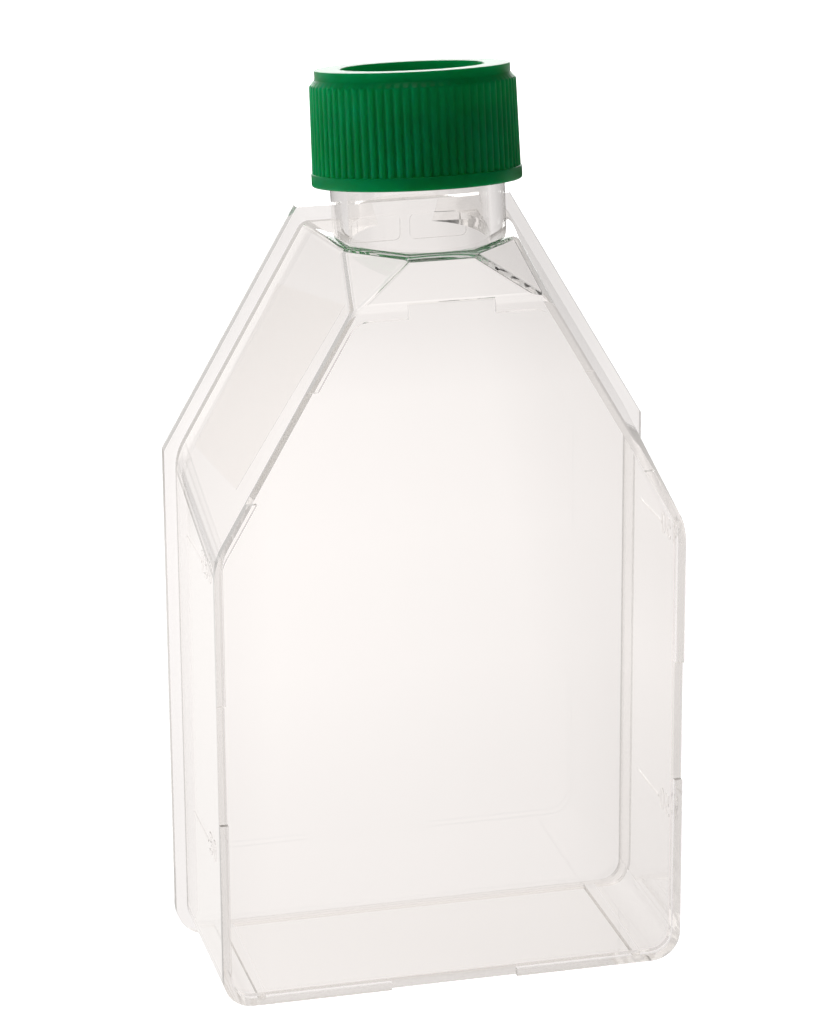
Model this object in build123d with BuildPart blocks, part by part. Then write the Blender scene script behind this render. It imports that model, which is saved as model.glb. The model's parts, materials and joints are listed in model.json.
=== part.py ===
"""Canted-neck cell culture flask with a vented screw cap, growth area 75 square centimetres.

The flask stands on its end: X runs across the width, Y through the depth from the growth
plate (-Y) to the welded lid, and Z is up. The origin is the middle of the lid's lower edge,
which the flask stands on together with two foot ribs. All sizes are in millimetres.
"""

import os
from math import cos, radians, sin, tan

from build123d import *

# Body
half_width = 40.1  # side wall, outside
body_depth = 34.5  # stacking rim to the back of the lid
wall = 1.5
end_wall_height = 0.9  # outside of the end wall above the floor
deck_height = 128.1  # flat top of the body, round the neck
shoulder_drop = 48.0  # deck to where the side wall turns into the shoulder, at the rim
shoulder_rise = 9.1  # how much higher that is at the lid
shoulder_slant = 30.0  # degrees from upright
corner_round = 5.0  # foot corners
shoulder_round = 10.0
crease_round = 0.5  # inside the creases round the ramp and the deck

# Ramp and facets between the growth plate and the deck, depths measured from the lid
ramp_drop = 7.4  # deck to the upper edge of the growth plate
deck_depth = 26.35
deck_front_half = 5.1  # half of the deck's straight front edge
deck_corner_depth = 17.75  # where the facet's edge meets the shoulder

# Stacking rim round the growth plate, with gaps
rim_height = 0.85
rim_width = 1.4
rim_round = 3.8
rim_gap_side = (34.2, 55.5)  # heights
rim_gap_slant = (90.0, 108.1)
rim_gap_top = 7.3  # half length
rim_gap_foot = 11.0

# Foot ribs under the end wall
foot_rib_x = 33.1
foot_rib_width = 1.35  # at the growth plate
foot_rib_lid_width = 2.0
foot_rib_start = 2.65  # from the rim's face

# Lid
lid_thick = 2.0
lid_overhang = 1.9  # beyond the side walls
lid_lip = 2.4  # above the deck
lid_foot_round = 5.5
lid_shoulder_round = 6.0
lid_top_round = 1.0
pad_depth = 0.4  # two shallow pads behind the neck's foot, a web between them
pad_web = 1.2
pad_reach = 11.5
pad_drop = 4.4  # below the deck
pad_round = 1.0

# Neck
neck_lean = 9.4  # degrees towards the lid
neck_depth = 10.55  # lid to the axis, at the height of the deck
neck_radius = 14.45
bore_radius = 11.75
neck_length = 21.7  # along the axis, from the deck to the mouth
mouth_round = 0.5

# Cap, its heights measured up from its lower edge
cap_height = 19.1
cap_band_radius = 17.42
cap_band_height = 2.2
cap_rib_radius = 17.25  # crest of the ribs, at the band
cap_rib_draft = 0.17  # how much less it is at the shoulder
cap_rib_count = 72
cap_rib_width = 1.05  # at its foot
cap_rib_crest = 0.45  # width of the crest
cap_groove_depth = 0.42
cap_shoulder_height = 16.75
cap_chamfer = 0.75
cap_ring_radius = 16.15
cap_recess_radius = 11.85
cap_recess_depth = 3.5
cap_skirt_clearance = 1.15  # from the neck to the inside of the skirt, room for the thread
cap_edge_round = 0.4
vent_radius = 9.0
seal_gap = 0.1  # from the neck's mouth to the cap's seat, at rest
cap_top_plate = 1.4  # recess floor to the membrane

# Vent membrane
membrane_radius = 10.6
membrane_thick = 0.3
membrane_clearance = 0.1  # round the disc, in its pocket

# Worked out from the sizes above
shoulder_height = deck_height - shoulder_drop
lid_front = -lid_thick / 2
lid_back = lid_thick / 2
near_y = lid_back - body_depth
plate_y = near_y + rim_height
near_top = deck_height - ramp_drop
deck_front = lid_front - deck_depth
deck_corner = lid_front - deck_corner_depth
lid_top = deck_height + lid_lip
slant = tan(radians(shoulder_slant))
neck_axis = Vector(0, sin(radians(neck_lean)), cos(radians(neck_lean)))
neck_plane = Plane(origin=(0, lid_front - neck_depth, deck_height), x_dir=(1, 0, 0), z_dir=neck_axis)
cap_seat_height = cap_height - cap_recess_depth - cap_top_plate - membrane_thick
cap_plane = neck_plane.offset(neck_length + seal_gap - cap_seat_height)
section_plane = Plane(origin=cap_plane.origin, x_dir=(1, 0, 0), z_dir=Vector(1, 0, 0).cross(neck_axis))
cap_axis = Axis(cap_plane.origin, neck_axis)


def shoulder_z(y: float) -> float:
    """Height at which the side wall turns into the shoulder, at depth y."""
    return shoulder_height + shoulder_rise * (y - near_y) / (lid_front - near_y)


def shoulder_x(y: float, z: float) -> float:
    """Half width of the shoulder's slope at depth y and height z."""
    return half_width - (z - shoulder_z(y)) * slant


def plane_through(a: Vector, b: Vector, c: Vector) -> Plane:
    """Plane through three points, whose normal follows the turn a, b, c."""
    return Plane(origin=a, x_dir=b - a, z_dir=(b - a).cross(c - a))


def outline(half: float, foot: float, shoulder: float, top: float) -> list[tuple[float, float]]:
    """Corners of a flask outline: upright sides, then slopes in to the top edge."""
    right = [(half, foot), (half, shoulder), (half - (top - shoulder) * slant, top)]
    return right + [(-x, z) for x, z in reversed(right)]


def tray_form(inset: float, front: float, back: float) -> Part:
    """The tray's outer form, with its walls moved inward by inset."""
    low = end_wall_height + inset
    high = deck_height - inset
    half = half_width - inset
    plate_corner = shoulder_x(near_y, near_top)
    ramp = plane_through(
        Vector(-plate_corner, near_y, near_top),
        Vector(plate_corner, near_y, near_top),
        Vector(0, deck_front, deck_height),
    )
    with BuildPart() as form:
        with BuildSketch(Plane.XZ.offset(-back)):
            with Locations((0, (low + high) / 2)):
                Rectangle(2 * half, high - low)
        extrude(amount=back - front)
        split(bisect_by=ramp.offset(-inset), keep=Keep.BOTTOM)
        for side in (1, -1):
            top = Vector(side * plate_corner, near_y, near_top)
            shoulder = (
                Vector(side * half_width, near_y, shoulder_z(near_y)),
                Vector(side * half_width, lid_front, shoulder_z(lid_front)),
                top,
            )
            facet = (
                top,
                Vector(side * shoulder_x(deck_corner, deck_height), deck_corner, deck_height),
                Vector(side * deck_front_half, deck_front, deck_height),
            )
            for corners in (shoulder, facet):
                split(bisect_by=plane_through(*corners[::side]).offset(-inset), keep=Keep.BOTTOM)
        along = form.edges().filter_by(lambda edge: abs(edge.tangent_at(0.5).Y) > 0.9)
        side_edges = along.filter_by(lambda edge: abs(abs(edge.center().X) - half) < 0.01)
        fillet(side_edges.group_by(Axis.Z)[0], corner_round - inset)
        fillet(side_edges.group_by(Axis.Z)[-1], shoulder_round - inset)
        creases = form.edges().filter_by(
            lambda edge: edge.center().Z > near_top + wall / 4 and edge.center().Y < back - wall
        )
        fillet(creases, crease_round + wall - inset)
    return form.part


# Tray: growth plate, walls, neck, stacking rim and foot ribs in one moulding
with BuildPart() as tray:
    add(tray_form(0, near_y, lid_front))
    add(tray_form(wall, plate_y + wall, lid_front + wall), mode=Mode.SUBTRACT)

    # The recess that leaves the stacking rim standing proud of the growth plate
    with BuildSketch(Plane.XZ.offset(-near_y)) as recess:
        with BuildLine():
            Polyline(outline(half_width, end_wall_height, shoulder_height, near_top), close=True)
        make_face()
        offset(amount=-rim_width, kind=Kind.INTERSECTION)
        fillet(recess.vertices(), rim_round)
    extrude(amount=-rim_height, mode=Mode.SUBTRACT)

    # The gaps in the rim
    with BuildSketch(Plane.XZ.offset(-near_y)):
        for low, high in (rim_gap_side, rim_gap_slant):
            with Locations((0, (low + high) / 2)):
                Rectangle(2 * half_width, high - low)
        for reach, height in ((rim_gap_top, near_top), (rim_gap_foot, end_wall_height)):
            with Locations((0, height)):
                Rectangle(2 * reach, 4 * rim_width)
    extrude(amount=-rim_height, mode=Mode.SUBTRACT)

    # Foot ribs, widening towards the lid
    with BuildSketch():
        for side in (1, -1):
            with BuildLine():
                Polyline(
                    (side * foot_rib_x - foot_rib_width / 2, near_y + foot_rib_start),
                    (side * foot_rib_x + foot_rib_width / 2, near_y + foot_rib_start),
                    (side * foot_rib_x + foot_rib_lid_width / 2, lid_front),
                    (side * foot_rib_x - foot_rib_lid_width / 2, lid_front),
                    close=True,
                )
            make_face()
    extrude(amount=end_wall_height + wall / 2)

    # Neck tube, from within the deck to the mouth, seated on the lid's top edge behind
    with BuildPart(mode=Mode.PRIVATE) as neck:
        with BuildSketch(neck_plane.offset(-neck_radius)):
            Circle(neck_radius)
        extrude(amount=neck_length + neck_radius)
        fillet(neck.edges().sort_by(Axis(neck_plane.origin, neck_axis))[-1], mouth_round)
        split(bisect_by=Plane.XY.offset(deck_height - wall / 2), keep=Keep.TOP)
        with BuildSketch(Plane.XY.offset(lid_top)):
            with Locations((0, lid_front + body_depth / 2)):
                Rectangle(2 * half_width, body_depth)
        extrude(amount=-lid_top, mode=Mode.SUBTRACT)
    add(neck.part)
    with BuildSketch(neck_plane.offset(neck_length)):
        Circle(bore_radius)
    extrude(amount=-neck_length - neck_radius / 2, mode=Mode.SUBTRACT)

# Lid: the flanged plate welded to the tray's open side
with BuildPart() as lid:
    with BuildSketch(Plane.XZ.offset(-lid_back)) as lid_outline:
        with BuildLine():
            Polyline(
                outline(
                    half_width + lid_overhang,
                    0,
                    shoulder_z(lid_front) + lid_overhang * tan(radians(shoulder_slant / 2)),
                    lid_top,
                ),
                close=True,
            )
        make_face()
        corners = lid_outline.vertices().group_by(Axis.Y)
        fillet(corners[0], lid_foot_round)
        fillet(corners[1], lid_shoulder_round)
        fillet(corners[2], lid_top_round)
    extrude(amount=lid_thick)
    with BuildSketch(Plane.XZ.offset(-lid_front)) as pads:
        for side in (1, -1):
            with Locations((side * (pad_web + pad_reach) / 2, deck_height - pad_drop / 2)):
                RectangleRounded(pad_reach - pad_web / 2, pad_drop, pad_round)
    extrude(amount=-pad_depth, mode=Mode.SUBTRACT)

# Cap: skirt with grip ribs, a thick top ring, and the vent in the floor of its recess
with BuildPart() as cap:
    groove_radius = cap_rib_radius - cap_groove_depth
    chamfer_top = cap_shoulder_height + cap_chamfer
    with BuildSketch(section_plane):
        with BuildLine():
            Polyline(
                (neck_radius + cap_skirt_clearance, 0),
                (cap_band_radius - cap_edge_round, 0),
                (cap_band_radius, cap_edge_round),
                (cap_band_radius, cap_band_height),
                (groove_radius, cap_band_height),
                (groove_radius, cap_shoulder_height),
                (cap_ring_radius, chamfer_top),
                (cap_ring_radius, cap_height - cap_edge_round / 2),
                (cap_ring_radius - cap_edge_round / 2, cap_height),
                (cap_recess_radius, cap_height),
                (cap_recess_radius, cap_height - cap_recess_depth),
                (vent_radius, cap_height - cap_recess_depth),
                (vent_radius, cap_seat_height + membrane_thick),
                (membrane_radius + membrane_clearance, cap_seat_height + membrane_thick),
                (membrane_radius + membrane_clearance, cap_seat_height),
                (neck_radius + cap_skirt_clearance, cap_seat_height),
                close=True,
            )
        make_face()
    revolve(axis=cap_axis)

    # Grip ribs, standing on the band, drafted and sloped off under the shoulder
    with BuildSketch(cap_plane.offset(cap_band_height)):
        with PolarLocations(cap_rib_radius, cap_rib_count):
            Polygon(
                (0, -cap_rib_crest / 2),
                (-cap_groove_depth / 2, -cap_rib_width * 0.42),
                (-2 * cap_groove_depth, -cap_rib_width / 2),
                (-2 * cap_groove_depth, cap_rib_width / 2),
                (-cap_groove_depth / 2, cap_rib_width * 0.42),
                (0, cap_rib_crest / 2),
                align=None,
            )
    extrude(amount=cap_shoulder_height - cap_band_height)
    with BuildSketch(section_plane):
        with BuildLine():
            Polyline(
                (groove_radius, cap_shoulder_height),
                (cap_band_radius + cap_rib_width, cap_shoulder_height),
                (cap_band_radius + cap_rib_width, cap_band_height),
                (cap_rib_radius, cap_band_height),
                (cap_rib_radius - cap_rib_draft, cap_shoulder_height - cap_groove_depth),
                close=True,
            )
        make_face()
    revolve(axis=cap_axis, mode=Mode.SUBTRACT)

# Vent membrane: a disc held against the underside of the recess floor
with BuildPart() as vent_membrane:
    with BuildSketch(cap_plane.offset(cap_seat_height)):
        Circle(membrane_radius)
    extrude(amount=membrane_thick)

os.makedirs("parts", exist_ok=True)
for name, piece in (
    ("tray", tray),
    ("lid", lid),
    ("cap", cap),
    ("vent_membrane", vent_membrane),
):
    piece.part.label = name
    export_step(piece.part, f"parts/{name}.step")
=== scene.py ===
"""Looks of a canted-neck cell culture flask with a vented screw cap.

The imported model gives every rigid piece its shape. This script dresses the pieces, adds the
moulded details that are too fine for the solids, and sets a plain bright studio round them.
"""

import json
import logging
import math
from collections.abc import Sequence
from dataclasses import dataclass
from enum import Enum

import bmesh
import bpy
from mathutils import Matrix, Vector


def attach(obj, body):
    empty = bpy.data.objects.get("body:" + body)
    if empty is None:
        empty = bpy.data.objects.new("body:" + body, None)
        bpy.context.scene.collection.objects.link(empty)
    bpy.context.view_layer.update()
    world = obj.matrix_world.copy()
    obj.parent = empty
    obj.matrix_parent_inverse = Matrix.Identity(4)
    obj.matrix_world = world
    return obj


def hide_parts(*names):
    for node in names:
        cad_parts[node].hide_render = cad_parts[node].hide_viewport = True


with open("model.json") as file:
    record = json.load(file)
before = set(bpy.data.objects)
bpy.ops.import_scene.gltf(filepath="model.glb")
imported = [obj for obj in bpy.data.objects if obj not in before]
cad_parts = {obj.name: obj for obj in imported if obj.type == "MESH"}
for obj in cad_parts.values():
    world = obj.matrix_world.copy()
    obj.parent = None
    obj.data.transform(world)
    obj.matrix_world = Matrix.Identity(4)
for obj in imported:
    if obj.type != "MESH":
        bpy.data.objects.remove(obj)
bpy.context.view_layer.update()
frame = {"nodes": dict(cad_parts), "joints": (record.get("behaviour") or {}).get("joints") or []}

MM = 0.001  # metres in a millimetre
THREAD_SINK = 0.1  # millimetres that a thread's foot goes into the wall that carries it

log = logging.getLogger("flask")

Tree = bpy.types.NodeTree
Node = bpy.types.Node
Socket = bpy.types.NodeSocket
Colour = tuple[float, float, float, float]
Shares = tuple[tuple[float, float], ...]
Tones = tuple[tuple[float, str], ...]
Row = tuple[float, float, float]  # radius, height and height of the rib on it, in millimetres


class Body(Enum):
    """The rigid bodies that pieces ride on."""

    FLASK = "flask"
    CAP = "cap"


class Slot(Enum):
    """The record's material slots; pieces are handed them, but none is given one here."""

    TRAY = "tray"
    CAP = "cap"


class Shader(Enum):
    """Blender's names for the nodes of materials and of the world."""

    PRINCIPLED = "ShaderNodeBsdfPrincipled"
    TRANSPARENT = "ShaderNodeBsdfTransparent"
    TRANSLUCENT = "ShaderNodeBsdfTranslucent"
    EMISSION = "ShaderNodeEmission"
    BACKGROUND = "ShaderNodeBackground"
    ABSORPTION = "ShaderNodeVolumeAbsorption"
    MIX = "ShaderNodeMixShader"
    MATH = "ShaderNodeMath"
    VECTOR_MATH = "ShaderNodeVectorMath"
    MAP_RANGE = "ShaderNodeMapRange"
    NOISE = "ShaderNodeTexNoise"
    BUMP = "ShaderNodeBump"
    RAMP = "ShaderNodeValToRGB"
    SEPARATE = "ShaderNodeSeparateXYZ"
    COORDINATES = "ShaderNodeTexCoord"
    GEOMETRY = "ShaderNodeNewGeometry"
    LIGHT_PATH = "ShaderNodeLightPath"
    OUTPUT = "ShaderNodeOutputMaterial"
    WORLD_OUTPUT = "ShaderNodeOutputWorld"


class Mover(Enum):
    """Blender's names for the geometry nodes that move a piece's points."""

    SOURCE = "NodeGroupInput"
    POSITION = "GeometryNodeInputPosition"
    COMPARE = "FunctionNodeCompare"
    SET_POSITION = "GeometryNodeSetPosition"
    RESULT = "NodeGroupOutput"


# ---------------------------------------------------------------- nodes


def linear(colour: str) -> Colour:
    """Turn an sRGB hex colour into linear light.

    Args:
        colour: Six hex digits after a hash mark.

    Returns:
        Linear red, green and blue, with an alpha of one.
    """
    levels = [int(colour[i : i + 2], 16) / 255 for i in (1, 3, 5)]
    red, green, blue = (
        v / 12.92 if v <= 0.04045 else ((v + 0.055) / 1.055) ** 2.4 for v in levels
    )
    return (red, green, blue, 1.0)


def add_node(tree: Tree, kind: Enum, inputs: dict | None = None, **settings: object) -> Node:
    """Add a node with its settings and its inputs.

    Args:
        tree: The node tree that gets the node.
        kind: The type of node.
        inputs: Input name or number to a value, or to the socket that feeds it.
        **settings: Properties of the node itself.

    Returns:
        The new node.
    """
    node = tree.nodes.new(kind.value)
    for name, value in settings.items():
        setattr(node, name, value)
    for name, value in (inputs or {}).items():
        if isinstance(value, Socket):
            tree.links.new(value, node.inputs[name])
        else:
            node.inputs[name].default_value = value
    return node


def add_range(
    tree: Tree,
    value: Socket,
    span: tuple[float, float],
    result: tuple[float, float] = (0.0, 1.0),
) -> Socket:
    """Map a value from one span to another, and stop at its ends.

    Args:
        tree: The node tree.
        value: The value to map.
        span: The two values that are mapped to the ends of the result.
        result: The two ends of the result.

    Returns:
        The mapped value.
    """
    inputs = {
        "Value": value,
        "From Min": span[0],
        "From Max": span[1],
        "To Min": result[0],
        "To Max": result[1],
    }
    return add_node(tree, Shader.MAP_RANGE, inputs).outputs["Result"]


def add_ramp(tree: Tree, value: Socket, stops: Tones | Shares) -> Socket:
    """Add a colour ramp.

    Args:
        tree: The node tree.
        value: The value that picks the colour.
        stops: Position of each stop, from low to high, and its sRGB hex colour or its share of
            white.

    Returns:
        The picked colour.
    """
    ramp = add_node(tree, Shader.RAMP, {"Fac": value})
    elements = ramp.color_ramp.elements
    while len(elements) < len(stops):
        elements.new(1.0)
    for element, (position, tone) in zip(elements, stops, strict=True):
        element.position = position
        element.color = linear(tone) if isinstance(tone, str) else (tone, tone, tone, 1.0)
    return ramp.outputs["Color"]


def add_noise(
    tree: Tree, size_mm: float, detail: float = 2.0, distortion: float = 0.0
) -> Socket:
    """Add a noise pattern that is fixed to the piece.

    Args:
        tree: The material's node tree.
        size_mm: Rough size of its patches in millimetres.
        detail: How many finer layers it has.
        distortion: How far its patches are drawn out.

    Returns:
        The pattern as a value from 0 to 1.
    """
    place = add_node(tree, Shader.COORDINATES)
    inputs = {
        "Vector": place.outputs["Object"],
        "Scale": 1.0 / (size_mm * MM),
        "Detail": detail,
        "Distortion": distortion,
    }
    return add_node(tree, Shader.NOISE, inputs).outputs["Fac"]


def add_skin(tree: Tree, height: Socket, strength: float, depth_mm: float) -> Socket:
    """Add a fine relief to a surface.

    Args:
        tree: The material's node tree.
        height: Pattern of the relief, from 0 to 1.
        strength: How much of it shows.
        depth_mm: Its depth in millimetres.

    Returns:
        The normal of the relief.
    """
    inputs = {"Height": height, "Strength": strength, "Distance": depth_mm * MM}
    return add_node(tree, Shader.BUMP, inputs).outputs["Normal"]


def mix(tree: Tree, share: float | Socket, first: Node, second: Node) -> Node:
    """Mix two shaders.

    Args:
        tree: The node tree.
        share: Share of the second shader.
        first: Node with the first shader.
        second: Node with the second shader.

    Returns:
        The node with the mixed shader.
    """
    return add_node(tree, Shader.MIX, {0: share, 1: first.outputs[0], 2: second.outputs[0]})


def switch_by_ray(tree: Tree, base: Node, views: dict[str, Node]) -> Node:
    """Show some kinds of ray a shader of their own.

    Args:
        tree: The node tree.
        base: Node with the shader that all other rays meet.
        views: Output of the light path to the node with the shader for those rays. Where two
            kinds of ray apply, the later one counts.

    Returns:
        The node with the whole shader.
    """
    path = add_node(tree, Shader.LIGHT_PATH)
    shown = base
    for ray, view in views.items():
        shown = mix(tree, path.outputs[ray], shown, view)
    return shown


def new_material(name: str) -> tuple[bpy.types.Material, Tree]:
    """Make an empty node material.

    Args:
        name: The finish's name.

    Returns:
        The material and its node tree.
    """
    material = bpy.data.materials.new(name)
    material.use_nodes = True
    material.node_tree.nodes.clear()
    return material, material.node_tree


# ---------------------------------------------------------------- finishes


@dataclass(frozen=True)
class ClearPolystyrene:
    """Injection-moulded crystal polystyrene, polished by the mould.

    It is water clear and bends light strongly, so walls seen edge on gather fine grey lines,
    and long paths through the plastic pick up a warm grey. The mould leaves patches that are
    polished a little less, which soften what shows through them by a hair. Light that stays
    caught between the walls is replaced by a painted glow, darker at the foot as painted shade.
    Edges that face right get painted shade from a flat grey glow, seen from within the plastic.

    Attributes:
        tint: Colour of the plastic itself.
        ior: Refractive index.
        polish: Roughness in the best and in the least polished patches.
        patch_mm: Size of the patches.
        patch_span: Noise levels at which the two are reached.
        shadow_tint: Share of a lamp's light that passes.
        depth_colour: Colour that long paths take on.
        depth_density: How soon, per metre.
        painted_glow_after: Number of bounces after which caught light gets a painted glow.
        painted_glow_colour: Colour of that painted glow.
        painted_glow_foot: Its colour at the foot, darker, as painted shade.
        foot_shade_height: Height in metres at which the foot's painted shade has faded out.
        edge_shade_colour: Tone of the painted shade on an edge, given as a flat glow.
        edge_shade_share: How much of that painted shade shows, from 0 to 1.
        edge_turn: Sideways parts of the normal, from within, where painted shade starts and is
            full.
    """

    tint: str = "#FEFDFC"
    ior: float = 1.59
    polish: tuple[float, float] = (0.0, 0.012)
    patch_mm: float = 24.0
    patch_span: tuple[float, float] = (0.4, 0.8)
    shadow_tint: str = "#F4F2EF"
    depth_colour: str = "#E1DFDD"
    depth_density: float = 16.0
    painted_glow_after: float = 11.5
    painted_glow_colour: str = "#E0DEDC"
    painted_glow_foot: str = "#8C8885"
    foot_shade_height: float = 0.045
    edge_shade_colour: str = "#7C7976"
    edge_shade_share: float = 0.0
    edge_turn: tuple[float, float] = (-0.4, -0.6)

    def add_painted_glow(self, tree: Tree, surface: Node) -> Node:
        """Give out a painted glow in place of the light that stays caught between the walls.

        Args:
            tree: The material's node tree.
            surface: Node with the surface so far.

        Returns:
            The node with the surface and its painted glow.
        """
        path = add_node(tree, Shader.LIGHT_PATH)
        caught = add_node(
            tree,
            Shader.MATH,
            {0: path.outputs["Ray Depth"], 1: self.painted_glow_after},
            operation="GREATER_THAN",
        )
        place = add_node(tree, Shader.COORDINATES)
        spot = add_node(tree, Shader.SEPARATE, {0: place.outputs["Object"]})
        # painted glow in place of caught light, darker at the foot as painted shade
        tones = ((0.0, self.painted_glow_foot), (self.foot_shade_height, self.painted_glow_colour))
        tone = add_ramp(tree, spot.outputs["Z"], tones)
        painted_glow = add_node(tree, Shader.EMISSION, {"Color": tone})
        return mix(tree, caught.outputs[0], surface, painted_glow)

    def paint_edge_shade(self, tree: Tree, surface: Node) -> Node:
        """Paint shade on the edges that face right, for light that meets them from within.

        Args:
            tree: The material's node tree.
            surface: Node with the surface so far.

        Returns:
            The node with the surface and its painted edge shade.
        """
        place = add_node(tree, Shader.COORDINATES)
        facing = add_node(tree, Shader.SEPARATE, {0: place.outputs["Normal"]})
        # painted shade: right-facing edges, met from within, take a flat grey glow
        shade_share = add_range(tree, facing.outputs["X"], self.edge_turn, (0.0, self.edge_shade_share))
        side = add_node(tree, Shader.GEOMETRY)
        within = add_node(
            tree, Shader.MATH, {0: shade_share, 1: side.outputs["Backfacing"]}, operation="MULTIPLY"
        )
        edge = add_node(tree, Shader.EMISSION, {"Color": linear(self.edge_shade_colour)})
        return mix(tree, within.outputs[0], surface, edge)

    def build(self, name: str = "clear_polystyrene") -> bpy.types.Material:
        """Make the material.

        Args:
            name: Name of the material.

        Returns:
            A clear material that lets lamps through.
        """
        material, tree = new_material(name)
        patches = add_noise(tree, self.patch_mm, detail=1.0)
        plastic = add_node(
            tree,
            Shader.PRINCIPLED,
            {
                "Base Color": linear(self.tint),
                "Roughness": add_range(tree, patches, self.patch_span, self.polish),
                "IOR": self.ior,
                "Transmission Weight": 1.0,
            },
        )
        through = add_node(tree, Shader.TRANSPARENT, {"Color": linear(self.shadow_tint)})
        surface = self.add_painted_glow(tree, switch_by_ray(tree, plastic, {"Is Shadow Ray": through}))
        if self.edge_shade_share:
            surface = self.paint_edge_shade(tree, surface)
        depth = add_node(
            tree,
            Shader.ABSORPTION,
            {"Color": linear(self.depth_colour), "Density": self.depth_density},
        )
        ends = {"Surface": surface.outputs[0], "Volume": depth.outputs[0]}
        add_node(tree, Shader.OUTPUT, ends)
        return material


@dataclass(frozen=True)
class FrostedPolystyrene:
    """The same polystyrene where the mould is spark eroded, so that a pencil writes on it.

    The fine pits scatter what shows through and leave the patch a shade greyer than the wall.
    """

    tint: str = "#FFFEFD"
    ior: float = 1.59
    roughness: float = 0.12
    pit_mm: float = 0.5
    pit_depth_mm: float = 0.05
    pit_strength: float = 0.08
    shadow_tint: str = "#ECE9E5"

    def build(self, name: str = "frosted_polystyrene") -> bpy.types.Material:
        """Make the material.

        Args:
            name: Name of the material.

        Returns:
            A matt, see-through material.
        """
        material, tree = new_material(name)
        pits = add_noise(tree, self.pit_mm)
        plastic = add_node(
            tree,
            Shader.PRINCIPLED,
            {
                "Base Color": linear(self.tint),
                "Roughness": self.roughness,
                "IOR": self.ior,
                "Transmission Weight": 1.0,
                "Normal": add_skin(tree, pits, self.pit_strength, self.pit_depth_mm),
            },
        )
        through = add_node(tree, Shader.TRANSPARENT, {"Color": linear(self.shadow_tint)})
        surface = switch_by_ray(tree, plastic, {"Is Shadow Ray": through})
        add_node(tree, Shader.OUTPUT, {"Surface": surface.outputs[0]})
        return material


@dataclass(frozen=True)
class GreenPolyethylene:
    """High-density polyethylene, dyed through and moulded with a fine satin skin.

    The skin spreads highlights into soft streaks along the ribs, and a little light wanders
    through the plastic, which keeps its thin places and its inside green.
    """

    colour: str = "#008552"
    deep_colour: str = "#007A44"
    dye_span: tuple[float, float] = (0.35, 0.65)  # noise levels of the deep and the plain dye
    blotch_mm: float = 7.0
    roughness: float = 0.30
    ior: float = 1.54
    gloss: float = 0.26
    grain_mm: float = 0.6
    grain_depth_mm: float = 0.05
    grain_strength: float = 0.08
    wander_share: float = 0.85
    wander_mm: float = 6.0
    wander_reach: tuple[float, float, float] = (0.03, 1.0, 0.45)  # of red, green and blue
    through_colour: str = "#30CF90"
    through_share: float = 0.35

    def build(self, name: str = "green_polyethylene") -> bpy.types.Material:
        """Make the material.

        Args:
            name: Name of the material.

        Returns:
            A satin green, hardly see-through.
        """
        material, tree = new_material(name)
        dense, thin = self.dye_span
        dyes = ((dense, self.deep_colour), (thin, self.colour))
        grain = add_noise(tree, self.grain_mm, detail=3.0)
        plastic = add_node(
            tree,
            Shader.PRINCIPLED,
            {
                "Base Color": add_ramp(tree, add_noise(tree, self.blotch_mm), dyes),
                "Roughness": self.roughness,
                "IOR": self.ior,
                "Specular IOR Level": self.gloss,
                "Subsurface Weight": self.wander_share,
                "Subsurface Radius": self.wander_reach,
                "Subsurface Scale": self.wander_mm * MM,
                "Normal": add_skin(tree, grain, self.grain_strength, self.grain_depth_mm),
            },
        )
        through = add_node(tree, Shader.TRANSLUCENT, {"Color": linear(self.through_colour)})
        surface = mix(tree, self.through_share, plastic, through)
        add_node(tree, Shader.OUTPUT, {"Surface": surface.outputs[0]})
        return material


@dataclass(frozen=True)
class MembraneFleece:
    """Stretched fluoropolymer membrane on a fleece backing: white, matt and faintly fibrous."""

    colour: str = "#F1F1EE"
    shade: str = "#E3E3DF"
    roughness: float = 0.9
    fibre_mm: float = 0.5
    fibre_depth_mm: float = 0.1
    fibre_strength: float = 0.4

    def build(self, name: str = "membrane_fleece") -> bpy.types.Material:
        """Make the material.

        Args:
            name: Name of the material.

        Returns:
            A matt white with a fine fibre grain.
        """
        material, tree = new_material(name)
        fibres = add_noise(tree, self.fibre_mm, detail=4.0, distortion=2.0)
        fleece = add_node(
            tree,
            Shader.PRINCIPLED,
            {
                "Base Color": add_ramp(tree, fibres, ((0.0, self.shade), (1.0, self.colour))),
                "Roughness": self.roughness,
                "Normal": add_skin(tree, fibres, self.fibre_strength, self.fibre_depth_mm),
            },
        )
        add_node(tree, Shader.OUTPUT, {"Surface": fleece.outputs[0]})
        return material


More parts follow.
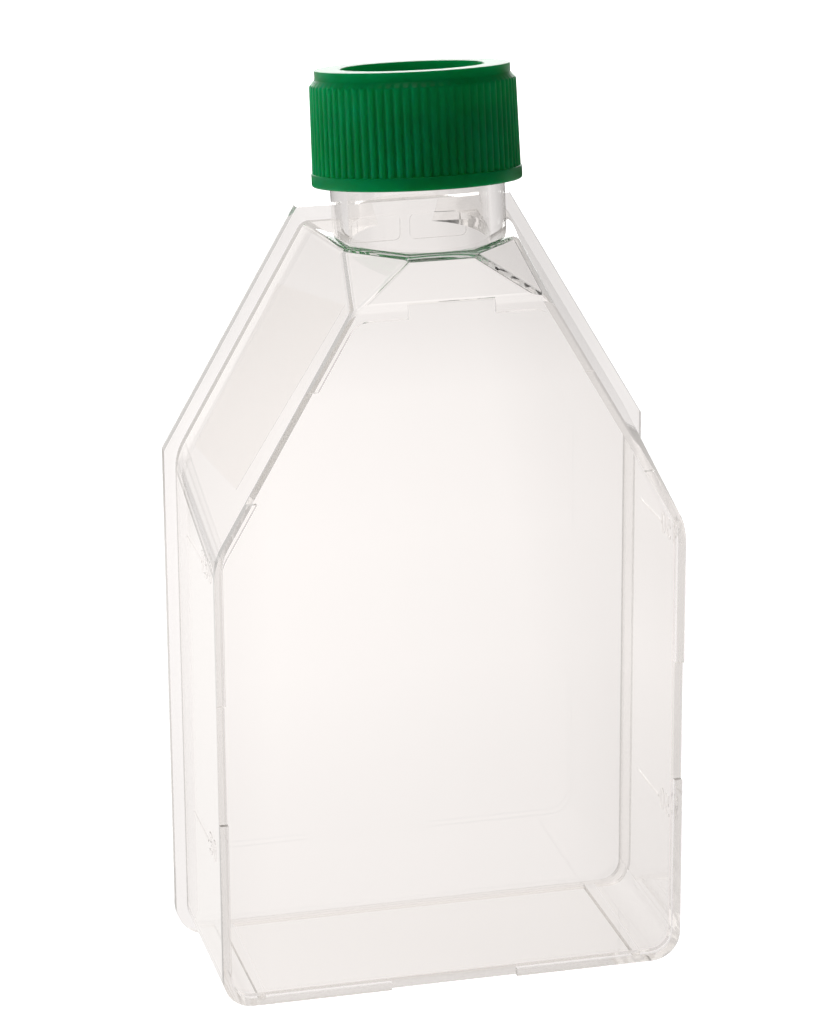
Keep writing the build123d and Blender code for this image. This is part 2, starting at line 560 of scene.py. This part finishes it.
@dataclass(frozen=True)
class WhiteTable:
    """A matt white laminate table, with a broad painted streak of light behind the flask.

    It shows as white, keeps the flask's soft shadow, and glows more the further it is from the
    flask, so that it runs on into the white room. Seen through the clear walls it shows a painted
    streak of light, which fades into a warm grey to both sides and far behind, and darkens
    towards the front as the flask's painted shadow. In gloss it shows painted reflections: dark
    and light bands across, and a bright patch to the flask's left.

    Attributes:
        colour: Colour of the laminate.
        roughness: Its roughness.
        glow: Light that it gives the camera near the flask and far away.
        glow_span: Distances in metres at which the two are reached.
        bounce: Light that it gives to what stands on it.
        light: Colour of the painted streak of light.
        strength: Strength of the streak.
        slant: How far the streak leans to the side for each metre behind the flask.
        across: Metres to the side of the streak's middle, and the share of the light there.
        away: Metres behind the flask, and the share of the painted light there; the low shares at
            the front are the flask's painted shadow.
        mirror_span: Metres behind the flask at which the bands in gloss start and end.
        mirror_tones: Tones of the bands, from the start to the end.
        reflected_patch_colour: Colour of a bright patch that only gloss shows, a painted
            reflection.
        reflected_patch_centre: Its middle in metres.
        reflected_patch_edge: Metres from its middle, and the share of the painted reflection there.
    """

    colour: str = "#F2F2F2"
    roughness: float = 0.8
    glow: tuple[float, float] = (0.72, 1.0)
    glow_span: tuple[float, float] = (0.3, 1.5)
    bounce: float = 0.58
    light: str = "#FFFCFB"
    strength: float = 1.16
    slant: float = -0.215
    across: Shares = (
        (-0.060, 0.87),
        (-0.040, 0.94),
        (-0.025, 1.0),
        (0.000, 0.98),
        (0.030, 0.945),
        (0.045, 0.88),
        (0.090, 0.76),
    )
    away: Shares = (
        (-0.05, 0.79),
        (0.0, 0.85),
        (0.06, 0.91),
        (0.12, 0.97),
        (0.20, 1.0),
        (0.30, 0.98),
        (0.36, 0.89),
        (0.45, 0.82),
    )
    mirror_span: tuple[float, float] = (-0.12, 0.92)
    mirror_tones: Tones = (
        (0.0, "#1C1C1B"),
        (0.2, "#CCC8C4"),
        (0.35, "#CCC8C4"),
        (0.5, "#2A2A29"),
        (0.62, "#2A2A29"),
        (0.85, "#E4E1DE"),
    )
    reflected_patch_colour: str = "#FBF8F5"
    reflected_patch_centre: tuple[float, float, float] = (-0.075, 0.09, 0.0)
    reflected_patch_edge: Shares = ((0.11, 1.0), (0.16, 0.0))

    def fade(self, tree: Tree, distance: Socket, stops: Shares) -> Socket:
        """Let a share depend on a distance on the table.

        Args:
            tree: The material's node tree.
            distance: The distance in metres.
            stops: Distance and share at each stop, from low to high.

        Returns:
            The share as a grey.
        """
        low, high = stops[0][0], stops[-1][0]
        shares = tuple(((spot - low) / (high - low), share) for spot, share in stops)
        return add_ramp(tree, add_range(tree, distance, (low, high)), shares)

    def add_painted_streak(self, tree: Tree, spot: Node) -> Node:
        """Paint the streak of light that shows through the clear plastic, with the flask's painted
        shadow at its front.

        Args:
            tree: The material's node tree.
            spot: Node with the place on the table, as X, Y and Z.

        Returns:
            The node with the streak.
        """
        aside = add_node(
            tree,
            Shader.MATH,
            {0: spot.outputs["Y"], 1: self.slant, 2: spot.outputs["X"]},
            operation="MULTIPLY_ADD",
        )
        across = self.fade(tree, aside.outputs[0], self.across)
        # painted light, darker towards the front as the flask's painted shadow
        away = self.fade(tree, spot.outputs["Y"], self.away)
        share = add_node(tree, Shader.VECTOR_MATH, {0: across, 1: away}, operation="MULTIPLY")
        tone = add_node(
            tree,
            Shader.VECTOR_MATH,
            {0: share.outputs[0], 1: linear(self.light)[:3]},
            operation="MULTIPLY",
        )
        return add_node(
            tree, Shader.EMISSION, {"Color": tone.outputs[0], "Strength": self.strength}
        )

    def add_mirrored(self, tree: Tree, place: Node, spot: Node) -> Node:
        """Paint what gloss shows of the table: its bands and a bright patch, as painted
        reflections.

        Args:
            tree: The material's node tree.
            place: Node with the coordinates.
            spot: Node with the place on the table, as X, Y and Z.

        Returns:
            The node with the bands and the bright patch.
        """
        band = add_range(tree, spot.outputs["Y"], self.mirror_span)
        bands = add_node(
            tree, Shader.EMISSION, {"Color": add_ramp(tree, band, self.mirror_tones)}
        )
        # painted reflection: a bright patch that only gloss shows
        painted_patch = add_node(tree, Shader.EMISSION, {"Color": linear(self.reflected_patch_colour)})
        apart = add_node(
            tree,
            Shader.VECTOR_MATH,
            {0: place.outputs["Object"], 1: self.reflected_patch_centre},
            operation="DISTANCE",
        )
        return mix(tree, self.fade(tree, apart.outputs["Value"], self.reflected_patch_edge), bands, painted_patch)

    def build(self, name: str = "white_table") -> bpy.types.Material:
        """Make the material.

        Args:
            name: Name of the material.

        Returns:
            A white that shows as a streak of light through the clear plastic.
        """
        material, tree = new_material(name)
        place = add_node(tree, Shader.COORDINATES)
        spot = add_node(tree, Shader.SEPARATE, {0: place.outputs["Object"]})
        apart = add_node(
            tree, Shader.VECTOR_MATH, {0: place.outputs["Object"]}, operation="LENGTH"
        )
        glow = add_range(tree, apart.outputs["Value"], self.glow_span, self.glow)
        matt, bright = (
            add_node(
                tree,
                Shader.PRINCIPLED,
                {
                    "Base Color": linear(self.colour),
                    "Roughness": self.roughness,
                    "Emission Color": linear("#FFFFFF"),
                    "Emission Strength": strength,
                },
            )
            for strength in (self.bounce, glow)
        )
        views = {
            "Is Camera Ray": bright,
            "Is Glossy Ray": self.add_mirrored(tree, place, spot),
            "Is Transmission Ray": self.add_painted_streak(tree, spot),
        }
        shown = switch_by_ray(tree, matt, views)
        add_node(tree, Shader.OUTPUT, {"Surface": shown.outputs[0]})
        return material


# ---------------------------------------------------------------- making pieces


def dress(node: str, material: bpy.types.Material) -> None:
    """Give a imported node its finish.

    Args:
        node: The node's name.
        material: The finish.
    """
    mesh = frame["nodes"][node].data
    mesh.materials.clear()
    mesh.materials.append(material)
    log.info("dressed %s with %s", node, material.name)


def make_piece(
    name: str,
    points: Sequence[Sequence[float]],
    faces: Sequence[Sequence[int]],
    material: bpy.types.Material,
    body: Body,
    smooth: float = 35.0,
) -> bpy.types.Object:
    """Make a closed mesh from points and faces, and let it ride on a body.

    Args:
        name: The piece's name.
        points: Corners in metres, in the shared frame.
        faces: Corner numbers of each face.
        material: The finish.
        body: The body that it moves with.
        smooth: Edges that bend by less than this many degrees are shaded smooth.

    Returns:
        The new object.
    """
    mesh = bpy.data.meshes.new(name)
    mesh.from_pydata(points, [], faces)
    shape = bmesh.new()
    shape.from_mesh(mesh)
    bmesh.ops.recalc_face_normals(shape, faces=shape.faces)
    for face in shape.faces:
        face.smooth = True
    for edge in shape.edges:
        edge.smooth = edge.calc_face_angle(math.pi) < math.radians(smooth)
    shape.to_mesh(mesh)
    shape.free()
    mesh.materials.append(material)
    piece = bpy.data.objects.new(name, mesh)
    bpy.context.scene.collection.objects.link(piece)
    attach(piece, body.value)
    log.info("built %s on %s, %d faces", name, body.value, len(mesh.polygons))
    return piece


def make_slab(
    name: str,
    outline: Sequence[Vector],
    out: Vector,
    material: bpy.types.Material,
    body: Body,
    proud: float,
    sunk: float = 0.04 * MM,
) -> bpy.types.Object:
    """Make a thin flat slab on a wall, with its foot sunk into it.

    Args:
        name: The piece's name.
        outline: Corners on the wall's surface, in metres.
        out: Unit vector away from the wall.
        material: The finish.
        body: The body that it moves with.
        proud: How far the slab stands out, in metres.
        sunk: How far its foot goes in, in metres.

    Returns:
        The new object.
    """
    count = len(outline)
    points = [p - out * sunk for p in outline] + [p + out * proud for p in outline]
    faces = [list(range(count))[::-1], list(range(count, 2 * count))]
    faces += [[i, (i + 1) % count, count + (i + 1) % count, count + i] for i in range(count)]
    return make_piece(name, points, faces, material, body)


def hand(side: int) -> str:
    """Name a side of the flask, from -1 for the left one and 1 for the right one."""
    return "left" if side < 0 else "right"


def arc(x: float, z: float, radius: float, start: float, end: float) -> list[Row]:
    """Rows of a turned section along an arc.

    Args:
        x: Distance of the arc's centre from the axis, in millimetres.
        z: Height of its centre.
        radius: Radius of the arc.
        start: Angle where it starts, in degrees.
        end: Angle where it ends, in degrees.

    Returns:
        Its rows, from start to end.
    """
    steps = 4
    turns = [math.radians(start + (end - start) * i / steps) for i in range(steps + 1)]
    return [(x + radius * math.cos(turn), z + radius * math.sin(turn), 0.0) for turn in turns]


@dataclass(frozen=True)
class NeckAxis:
    """The leaning axis that the neck, the cap and the vent share."""

    foot: Vector
    along: Vector

    @classmethod
    def from_joints(cls) -> "NeckAxis":
        """Read the axis from the joint that turns the cap."""
        turn = next(j for j in frame["joints"] if j["name"] == "cap_turn")
        return cls(Vector(turn["pos_m"]), Vector(turn["axis"]).normalized())

    def matrix(self) -> Matrix:
        """Place of a frame whose origin is on the deck and whose Z runs up the neck."""
        across = Vector((1.0, 0.0, 0.0))
        rows = Matrix((across, self.along.cross(across), self.along)).transposed()
        return Matrix.Translation(self.foot) @ rows.to_4x4()


@dataclass(frozen=True)
class ScrewRidge:
    """One start of a coarse screw thread, as a ridge with sloping flanks and tapered ends.

    All sizes are in millimetres, and the phase in radians.
    """

    root: float
    crest: float
    low: float
    high: float
    pitch: float = 4.0
    root_width: float = 1.7
    crest_width: float = 0.7
    end_share: float = 0.06  # share of the height that is left at both ends
    end_growth: float = 6.0  # how much it gains from there, for each turn
    phase: float = 0.0
    steps: int = 72

    def build(
        self,
        name: str,
        axis: NeckAxis,
        material: bpy.types.Material,
        body: Body,
        slot: Slot,
    ) -> bpy.types.Object:
        """Wind the ridge round the neck's axis.

        Args:
            name: The piece's name.
            axis: The axis that it winds round.
            material: The finish.
            body: The body that it moves with.
            slot: The record's slot for its finish; not used.

        Returns:
            The ridge as a closed mesh.
        """
        turns = (self.high - self.low) / self.pitch
        count = int(turns * self.steps)
        place = axis.matrix()
        points: list[Vector] = []
        for i in range(count + 1):
            angle = 2 * math.pi * i / self.steps
            height = self.low + self.pitch * angle / (2 * math.pi)
            taper = min(1.0, self.end_share + self.end_growth * min(i, count - i) / self.steps)
            crest = self.root + (self.crest - self.root) * taper
            for radius, rise in (
                (self.root, -self.root_width / 2),
                (crest, -self.crest_width / 2),
                (crest, self.crest_width / 2),
                (self.root, self.root_width / 2),
            ):
                turn = angle + self.phase
                local = Vector((radius * math.cos(turn), radius * math.sin(turn), height + rise))
                points.append(place @ (local * MM))
        faces = [[3, 2, 1, 0], [4 * count + k for k in range(4)]]
        faces += [
            [4 * i + k, 4 * i + (k + 1) % 4, 4 * i + 4 + (k + 1) % 4, 4 * i + 4 + k]
            for i in range(count)
            for k in range(4)
        ]
        return make_piece(name, points, faces, material, body)


# ---------------------------------------------------------------- the flask


@dataclass(frozen=True)
class FlaskBody:
    """The clear tray and the lid welded to it, with what is moulded on their walls.

    All sizes are in millimetres.
    """

    clear: bpy.types.Material
    # the clear plastic's copy for the lid, with a dimmer painted glow and painted edge shade
    clear_lid: bpy.types.Material
    frosted: bpy.types.Material
    half_width: float = 40.1
    near_y: float = -33.5
    joint_y: float = -1.0
    weld_sink: float = 0.08
    weld_tolerance: float = 0.02  # how far a point of the joint may lie off it
    shoulder_height: float = 80.1
    shoulder_rise: float = 9.1
    shoulder_slant: float = 30.0  # degrees from upright
    panel_corners: Shares = ((-27.25, 90.8), (-6.05, 92.0), (-4.4, 118.6), (-29.65, 121.4))
    panel_proud: float = 0.03
    mark_heights: tuple[tuple[float, str], ...] = ((27.4, "50"), (77.4, "150"))
    mark_span: tuple[float, float] = (-23.0, -10.5)
    mark_width: float = 0.4
    mark_proud: float = 0.12
    number_height: float = 4.0
    digit_share: float = 0.7  # a digit's height as a share of the font's size
    number_y: float = -26.6
    number_steps: int = 3
    merge_gap: float = 0.001  # points that lie closer than this are one
    thread_span: tuple[float, float] = (9.2, 19.4)
    neck_radius: float = 14.45
    neck_thread_radius: float = 15.35

    def weld(self) -> None:
        """Sink the tray's foot into the lid, so that no skin of air is left in the weld."""
        tree = bpy.data.node_groups.new("weld_foot", "GeometryNodeTree")
        for way in ("INPUT", "OUTPUT"):
            tree.interface.new_socket("Tray", in_out=way, socket_type="NodeSocketGeometry")
        source = add_node(tree, Mover.SOURCE)
        place = add_node(tree, Mover.POSITION)
        spot = add_node(tree, Shader.SEPARATE, {0: place.outputs[0]})
        foot = add_node(
            tree,
            Mover.COMPARE,
            {
                "A": spot.outputs["Y"],
                "B": self.joint_y * MM,
                "Epsilon": self.weld_tolerance * MM,
            },
            operation="EQUAL",
        )
        sunk = add_node(
            tree,
            Mover.SET_POSITION,
            {
                "Geometry": source.outputs[0],
                "Selection": foot.outputs[0],
                "Offset": (0.0, self.weld_sink * MM, 0.0),
            },
        )
        add_node(tree, Mover.RESULT, {0: sunk.outputs[0]})
        modifier = frame["nodes"]["tray"].modifiers.new("weld_foot", "NODES")
        modifier.node_group = tree

    def on_shoulder(self, y: float, z: float, side: int) -> Vector:
        """Point on a shoulder's outside at a depth and a height.

        Args:
            y: Depth in millimetres.
            z: Height in millimetres.
            side: -1 for the left shoulder and 1 for the right one.

        Returns:
            The point in metres.
        """
        share = (y - self.near_y) / (self.joint_y - self.near_y)
        turn = self.shoulder_height + self.shoulder_rise * share
        x = self.half_width - (z - turn) * math.tan(math.radians(self.shoulder_slant))
        return Vector((side * x, y, z)) * MM

    def add_panel(self) -> None:
        """Frost a patch of the left shoulder for writing on."""
        corners = [self.on_shoulder(y, z, -1) for y, z in self.panel_corners]
        out = (corners[1] - corners[0]).cross(corners[3] - corners[0]).normalized()
        if out.x > 0:
            out = -out
        make_slab(
            "writing_panel",
            corners,
            out,
            self.frosted,
            Body.FLASK,
            self.panel_proud * MM,
        )

    def add_mark(self, side: int, height: float, number: str) -> None:
        """Raise a filling mark on a side wall.

        Args:
            side: -1 for the left wall and 1 for the right one.
            height: Height of the mark in millimetres.
            number: The volume in millilitres at which the liquid reaches it.
        """
        low, high = (height - self.mark_width / 2, height + self.mark_width / 2)
        near, far = self.mark_span
        corners = [
            Vector((side * self.half_width, y, z)) * MM
            for y, z in ((near, low), (far, low), (far, high), (near, high))
        ]
        make_slab(
            f"{hand(side)}_mark_{number}",
            corners,
            Vector((side, 0.0, 0.0)),
            self.clear,
            Body.FLASK,
            self.mark_proud * MM,
        )

    def add_number(self, side: int, height: float, number: str) -> None:
        """Raise a filling mark's number beside it.

        Args:
            side: -1 for the left wall and 1 for the right one.
            height: Height of the mark in millimetres.
            number: The volume in millilitres at which the liquid reaches it.
        """
        name = f"{hand(side)}_number_{number}"
        figures = bpy.data.curves.new(name, "FONT")
        figures.body = number
        figures.size = self.number_height * MM / self.digit_share
        figures.align_x = figures.align_y = "CENTER"
        figures.extrude = self.mark_proud * MM
        figures.resolution_u = self.number_steps
        drawn = bpy.data.objects.new("drawn", figures)
        bpy.context.scene.collection.objects.link(drawn)
        bpy.context.view_layer.update()
        flat = bpy.data.meshes.new_from_object(drawn)
        spot = Vector((side * self.half_width, self.number_y, height)) * MM
        turn = Matrix(((0, 0, side), (side, 0, 0), (0, 1, 0))).to_4x4()
        place = Matrix.Translation(spot) @ turn
        points = [place @ v.co for v in flat.vertices]
        faces = [list(p.vertices) for p in flat.polygons]
        bpy.data.objects.remove(drawn)
        piece = make_piece(name, points, faces, self.clear, Body.FLASK)
        shape = bmesh.new()
        shape.from_mesh(piece.data)
        bmesh.ops.remove_doubles(shape, verts=shape.verts, dist=self.merge_gap * MM)
        bmesh.ops.recalc_face_normals(shape, faces=shape.faces)
        shape.to_mesh(piece.data)
        shape.free()

    def build(self, axis: NeckAxis) -> None:
        """Dress the welded body and add its moulded details.

        Args:
            axis: The neck's axis.
        """
        dress("tray", self.clear)
        dress("lid", self.clear_lid)
        self.weld()
        self.add_panel()
        for side in (-1, 1):
            for height, number in self.mark_heights:
                self.add_mark(side, height, number)
                self.add_number(side, height, number)
        ScrewRidge(
            root=self.neck_radius - THREAD_SINK,
            crest=self.neck_thread_radius,
            low=self.thread_span[0],
            high=self.thread_span[1],
        ).build("neck_thread", axis, self.clear, Body.FLASK, Slot.TRAY)


@dataclass(frozen=True)
class VentCap:
    """The ribbed screw cap with a recess that is open to the vent membrane under it.

    All sizes are in millimetres, with heights above the cap's lower edge.
    """

    green: bpy.types.Material
    fleece: bpy.types.Material
    seat: float = 7.9  # the lower edge, along the axis
    height: float = 19.1
    bore: float = 15.6
    band_radius: float = 17.42
    band_height: float = 2.2
    band_round: float = 0.15
    rib_radius: float = 17.25
    rib_draft: float = 0.17
    rib_depth: float = 0.42
    rib_count: int = 72
    rib_columns: int = 10
    rib_rows: int = 8
    rib_half: float = 0.4  # half of a rib's foot, as a share of the pitch
    rib_square: float = 2.2  # how flat the middle of a rib is
    rib_crown: float = 0.7  # how steep its flanks are
    tip: float = 0.75
    tip_rows: int = 6
    tip_share: float = 0.9  # share of the tip's height that its rounding takes
    shoulder: float = 16.75
    ring_base: float = 17.5
    ring_radius: float = 16.15
    ring_fillet: Shares = ((0.08, -0.02), (0.0, 0.12))  # out and up from the ring's base
    recess_radius: float = 11.85
    recess_depth: float = 3.5
    vent_radius: float = 9.0
    nest_radius: float = 10.7
    ceiling: float = 13.9
    nest_depth: float = 0.3
    edge: float = 0.4
    thread_crest: float = 14.8
    thread_span: tuple[float, float] = (3.3, 11.3)

    def section(self) -> list[Row]:
        """Work out the cap's section as a closed loop.

        Returns:
            The rows of the section, in millimetres.
        """
        groove = self.rib_radius - self.rib_depth
        edge, foot, small = self.edge, self.band_height, self.band_round
        rows = [(self.bore, 0.0, 0.0)]
        rows += arc(self.band_radius - edge, edge, edge, -90, 0)
        rows += arc(self.band_radius - small, foot - small, small, 0, 90)
        for i in range(self.rib_rows + 1):
            height = foot + (self.shoulder - self.tip - foot) * i / self.rib_rows
            crest = self.rib_radius - self.rib_draft * i / self.rib_rows
            rows.append((groove, height, crest - groove))
        for i in range(1, self.tip_rows + 1):
            share = i / self.tip_rows
            height = self.shoulder + self.tip * (share - 1) * self.tip_share
            rib = (self.rib_depth - self.rib_draft) * math.sqrt(1 - share**2)
            rows.append((groove, height, rib))
        rows += [
            (self.ring_radius + out, self.ring_base + up, 0.0) for out, up in self.ring_fillet
        ]
        top, floor = self.height - edge / 2, self.height - self.recess_depth
        rows += arc(self.ring_radius - edge / 2, top, edge / 2, 0, 90)
        rows += arc(self.recess_radius + edge / 2, top, edge / 2, 90, 180)
        rows += arc(self.recess_radius - edge, floor + edge, edge, 0, -90)
        nest_top = self.ceiling + self.nest_depth
        rows += [
            (self.vent_radius, floor, 0.0),
            (self.vent_radius, nest_top, 0.0),
            (self.nest_radius, nest_top, 0.0),
            (self.nest_radius, self.ceiling, 0.0),
            (self.bore, self.ceiling, 0.0),
        ]
        return rows

    def swell(self, column: int) -> float:
        """Share of a rib's height that a column of the cap's faces stands at."""
        share = (column / self.rib_columns) % 1.0 - 0.5
        return max(0.0, 1 - abs(share / self.rib_half) ** self.rib_square) ** self.rib_crown

    def add_shell(self, axis: NeckAxis) -> None:
        """Build the cap with its rounded ribs, in place of the plainer packed one.

        Args:
            axis: The neck's axis.
        """
        rows = self.section()
        count = self.rib_count * self.rib_columns
        place = axis.matrix()
        points = []
        for radius, height, rib in rows:
            for i in range(count):
                reach = radius + rib * self.swell(i)
                angle = 2 * math.pi * i / count
                local = Vector(
                    (reach * math.cos(angle), reach * math.sin(angle), self.seat + height)
                )
                points.append(place @ (local * MM))
        total = len(rows)
        faces = [
            [
                j * count + i,
                j * count + (i + 1) % count,
                (j + 1) % total * count + (i + 1) % count,
                (j + 1) % total * count + i,
            ]
            for j in range(total)
            for i in range(count)
        ]
        cap = make_piece("ribbed_cap", points, faces, self.green, Body.CAP, smooth=50.0)
        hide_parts("cap")

    def build(self, axis: NeckAxis) -> None:
        """Build the cap and its thread, and dress the membrane.

        Args:
            axis: The neck's axis.
        """
        dress("cap", self.green)
        dress("vent_membrane", self.fleece)
        self.add_shell(axis)
        ScrewRidge(
            root=self.bore + THREAD_SINK,
            crest=self.thread_crest,
            low=self.seat + self.thread_span[0],
            high=self.seat + self.thread_span[1],
            phase=math.pi,
        ).build("cap_thread", axis, self.green, Body.CAP, Slot.CAP)


# ---------------------------------------------------------------- studio


@dataclass(frozen=True)
class SoftLamp:
    """A broad, square lamp turned towards the flask."""

    name: str
    place: tuple[float, float, float]  # metres from the aim point
    size: float  # metres
    watts: float
    mirrored: bool  # whether glossy surfaces show it

    def add(self, aim: Vector) -> None:
        """Put the lamp into the scene.

        Args:
            aim: The aim point in metres.
        """
        data = bpy.data.lights.new(self.name, "AREA")
        data.size = self.size
        data.energy = self.watts
        lamp = bpy.data.objects.new(self.name, data)
        lamp.location = aim + Vector(self.place)
        lamp.rotation_euler = Vector(self.place).to_track_quat("Z", "Y").to_euler()
        lamp.visible_transmission = False
        lamp.visible_glossy = self.mirrored
        bpy.context.scene.collection.objects.link(lamp)


@dataclass(frozen=True)
class WhiteRoom:
    """The world round the flask.

    It is plain white to the camera. Seen through the clear plastic it is a bright room with
    one dark upper corner. In gloss it is dark, but for its far side, which is white. It gives
    next to no light of its own to what stands in it.

    Attributes:
        white: Colour that the camera sees.
        fill: Colour of the light that it gives.
        fill_strength: Strength of that light.
        dark_corner: Direction of the dark corner.
        room_strength: Strength of what shows through clear plastic.
        room_tones: Its tones towards the corner, by the cosine of the angle to it.
        mirror_tones: Tones in gloss, from the room's front to its far side.
    """

    white: str = "#FFFFFF"
    fill: str = "#F4F6FA"
    fill_strength: float = 0.05
    dark_corner: tuple[float, float, float] = (0.62, 0.63, 0.45)
    room_strength: float = 1.15
    room_tones: Tones = ((0.5, "#FFFCFA"), (0.9, "#E6E2DF"), (0.95, "#4C4A48"), (0.98, "#0C0C0C"))
    mirror_tones: Tones = ((0.0, "#161616"), (0.7, "#2E2D2C"), (0.94, "#8A8784"), (0.97, "#FFFFFF"))

    def build(self) -> bpy.types.World:
        """Make the world.

        Returns:
            The world, not yet set on the scene.
        """
        world = bpy.data.worlds.new("white_room")
        world.use_nodes = True
        tree = world.node_tree
        tree.nodes.clear()
        place = add_node(tree, Shader.COORDINATES)
        corner = add_node(
            tree,
            Shader.VECTOR_MATH,
            {0: place.outputs["Generated"], 1: self.dark_corner},
            operation="DOT_PRODUCT",
        )
        way = add_node(tree, Shader.SEPARATE, {0: place.outputs["Generated"]})
        ahead = add_range(tree, way.outputs["Y"], (-1.0, 1.0))
        fill, mirrored, room, white = (
            add_node(tree, Shader.BACKGROUND, {"Color": colour, "Strength": strength})
            for colour, strength in (
                (linear(self.fill), self.fill_strength),
                (add_ramp(tree, ahead, self.mirror_tones), 1.0),
                (add_ramp(tree, corner.outputs["Value"], self.room_tones), self.room_strength),
                (linear(self.white), 1.0),
            )
        )
        views = {
            "Is Glossy Ray": mirrored,
            "Is Transmission Ray": room,
            "Is Camera Ray": white,
        }
        shown = switch_by_ray(tree, fill, views)
        add_node(tree, Shader.WORLD_OUTPUT, {"Surface": shown.outputs[0]})
        return world


@dataclass(frozen=True)
class Studio:
    """A white table in a white room, with broad, soft lamps and the camera."""

    aim: tuple[float, float, float] = (-1.12, -11.04, 77.59)  # millimetres
    yaw: float = -13.82  # degrees to the right
    pitch: float = 19.0
    roll: float = -0.40
    distance: float = 0.6941  # metres from the aim point
    lens: float = 142.37  # millimetres
    clip: tuple[float, float] = (0.01, 20.0)  # metres
    table_radius: float = 4.0  # metres
    table_sides: int = 96
    table_drop: float = 0.2  # millimetres under the flask
    bounces: int = 16  # how often light may be bent or mirrored
    lamps: tuple[SoftLamp, ...] = (
        SoftLamp("window_left", (-0.92, 0.10, 0.20), 0.55, 6.5, mirrored=False),
        SoftLamp("panel_top", (-0.05, 0.1, 0.95), 0.5, 1.0, mirrored=True),
        SoftLamp("panel_back", (0.25, 1.1, 0.28), 0.8, 7.0, mirrored=True),
    )

    def place_camera(self) -> None:
        """Set the camera at its angle, aimed at the middle of the flask."""
        across, up = math.radians(self.yaw), math.radians(self.pitch)
        back = Vector(
            (
                math.sin(across) * math.cos(up),
                -math.cos(across) * math.cos(up),
                math.sin(up),
            )
        )
        data = bpy.data.cameras.new("camera")
        data.lens = self.lens
        data.clip_start, data.clip_end = self.clip
        camera = bpy.data.objects.new("camera", data)
        bpy.context.scene.collection.objects.link(camera)
        turn = back.to_track_quat("Z", "Y").to_matrix()
        roll = Matrix.Rotation(math.radians(self.roll), 3, "Z")
        stand = Vector(self.aim) * MM + back * self.distance
        camera.matrix_world = Matrix.Translation(stand) @ (turn @ roll).to_4x4()
        bpy.context.scene.camera = camera

    def add_table(self) -> None:
        """Lay a round white table that keeps a soft shadow."""
        mesh = bpy.data.meshes.new("table")
        turns = [2 * math.pi * i / self.table_sides for i in range(self.table_sides)]
        radius = self.table_radius
        rim = [(radius * math.cos(turn), radius * math.sin(turn), 0.0) for turn in turns]
        mesh.from_pydata(rim, [], [tuple(range(self.table_sides))])
        mesh.materials.append(WhiteTable().build())
        table = bpy.data.objects.new("table", mesh)
        table.location.z = -self.table_drop * MM
        bpy.context.scene.collection.objects.link(table)

    def build(self) -> None:
        """Set up the camera, the room, the table and the lamps."""
        scene = bpy.context.scene
        scene.view_settings.view_transform = "Standard"
        cycles = scene.cycles
        cycles.max_bounces = cycles.transmission_bounces = cycles.glossy_bounces = self.bounces
        self.place_camera()
        scene.world = WhiteRoom().build()
        self.add_table()
        for lamp in self.lamps:
            lamp.add(Vector(self.aim) * MM)
        log.info("set the studio with %d lamps", len(self.lamps))


def main() -> None:
    """Build the flask's pieces in order and set the studio round them."""
    logging.basicConfig(level=logging.INFO, format="%(name)s: %(message)s")
    axis = NeckAxis.from_joints()
    # the lid's copy differs only in painted light: a dimmer painted glow and painted shade on its
    # edges
    lid = ClearPolystyrene(painted_glow_colour="#D6D3D0", painted_glow_foot="#BAB6B2", edge_shade_share=0.45)
    FlaskBody(
        ClearPolystyrene().build(),
        lid.build("clear_polystyrene_lid"),
        FrostedPolystyrene().build(),
    ).build(axis)
    VentCap(GreenPolyethylene().build(), MembraneFleece().build()).build(axis)
    Studio().build()


if __name__ == "__main__":
    main()
